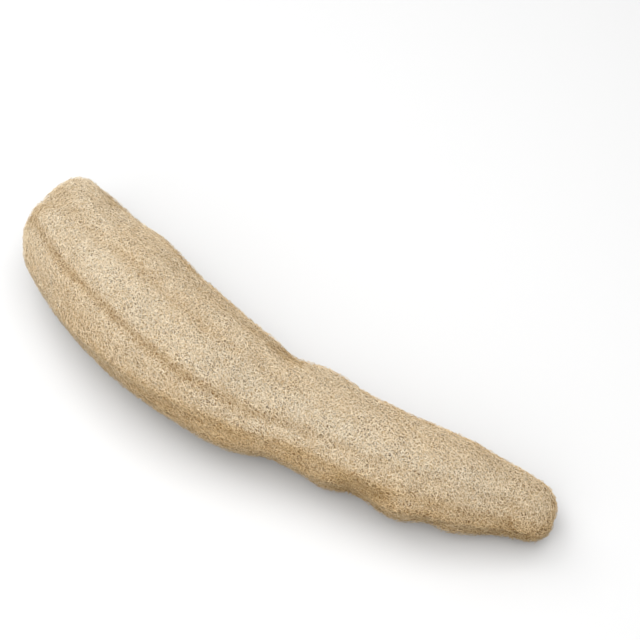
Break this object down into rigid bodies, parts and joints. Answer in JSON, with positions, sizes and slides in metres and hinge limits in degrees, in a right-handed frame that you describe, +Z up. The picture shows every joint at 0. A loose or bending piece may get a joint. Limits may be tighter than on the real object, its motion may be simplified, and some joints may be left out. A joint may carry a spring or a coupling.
{
  "type": "natural loofah sponge",
  "caption": "Long natural loofah sponge: a bent, ribbed gourd skeleton with a raised fibre net, a broad rounded end with seed channels and a blunt narrow end.",
  "frame": {"origin": "on the surface that the loofah lies on, below the middle of its bounding box", "axes": "+Z up; X along the loofah's length, with the broad end at -X and the narrow end at +X; the sideways bend bulges towards -Y"},
  "size_m": [0.4003, 0.1215, 0.0832],
  "materials": {
    "loofah_fibre": "dry bleached plant fibre, matt and open-pored"
  },
  "bodies": {
    "root": {"loofah": "loofah_fibre"}
  },
  "joints": []
}
